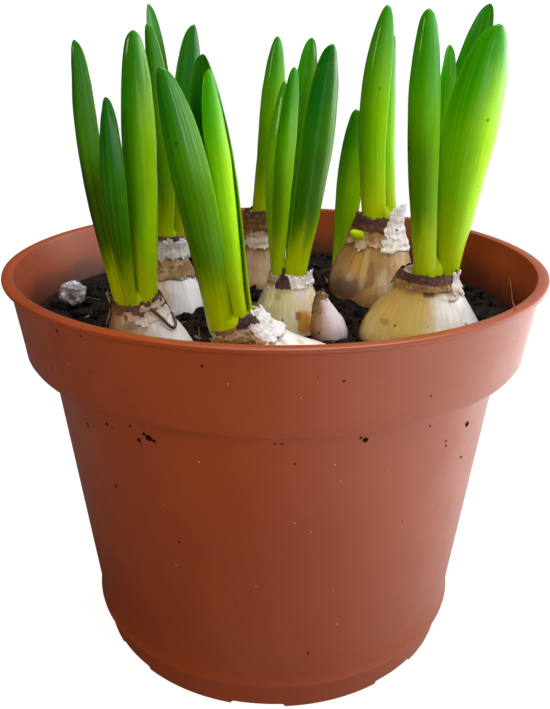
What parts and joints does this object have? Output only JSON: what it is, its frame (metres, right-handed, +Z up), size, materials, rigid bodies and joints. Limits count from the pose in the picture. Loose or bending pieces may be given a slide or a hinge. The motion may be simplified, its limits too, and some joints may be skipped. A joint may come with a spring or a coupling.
{
  "type": "potted hyacinth bulbs",
  "caption": "Round plastic nursery pot of dark compost with half-buried, sprouting hyacinth bulbs whose thick, hooded green leaves stand upright.",
  "frame": {"origin": "on the surface that the pot stands on, under the middle of the pot", "axes": "+Z up along the pot's axis, -Y towards the side that the picture was taken from, +X to the right seen from there"},
  "size_m": [0.19, 0.19, 0.2291],
  "materials": {
    "pot_plastic": "satin terracotta brown",
    "compost": "loose, damp, near black peat compost",
    "bulb_skin": "smooth fleshy scale, cream to olive, slightly glossy",
    "dry_tunic": "dry papery skin, brown and purple",
    "leaf": "waxy, finely ribbed green",
    "pumice": "rough pale grey stone"
  },
  "bodies": {
    "root": {"bulb_back": "bulb_skin", "bulb_back_left": "bulb_skin", "bulb_back_right": "bulb_skin", "bulb_front": "bulb_skin", "bulb_front_left": "bulb_skin", "bulb_front_right": "bulb_skin", "bulb_middle": "bulb_skin", "leaf_back_1": "leaf", "leaf_back_2": "leaf", "leaf_back_left_1": "leaf", "leaf_back_left_2": "leaf", "leaf_back_left_3": "leaf", "leaf_back_right_1": "leaf", "leaf_back_right_2": "leaf", "leaf_front_1": "leaf", "leaf_front_2": "leaf", "leaf_front_3": "leaf", "leaf_front_left_1": "leaf", "leaf_front_left_2": "leaf", "leaf_front_left_3": "leaf", "leaf_front_left_4": "leaf", "leaf_front_right_1": "leaf", "leaf_front_right_2": "leaf", "leaf_front_right_3": "leaf", "leaf_front_right_4": "leaf", "leaf_middle_1": "leaf", "leaf_middle_2": "leaf", "leaf_middle_3": "leaf", "leaf_middle_4": "leaf", "offset_bulb": "bulb_skin", "pot": "pot_plastic", "potting_soil": "compost", "pumice_lump": "pumice", "side_shoot": "leaf", "tunic_back": "dry_tunic", "tunic_back_left": "dry_tunic", "tunic_back_right": "dry_tunic", "tunic_front": "dry_tunic", "tunic_front_left": "dry_tunic", "tunic_front_right": "dry_tunic", "tunic_middle": "dry_tunic"}
  },
  "joints": []
}
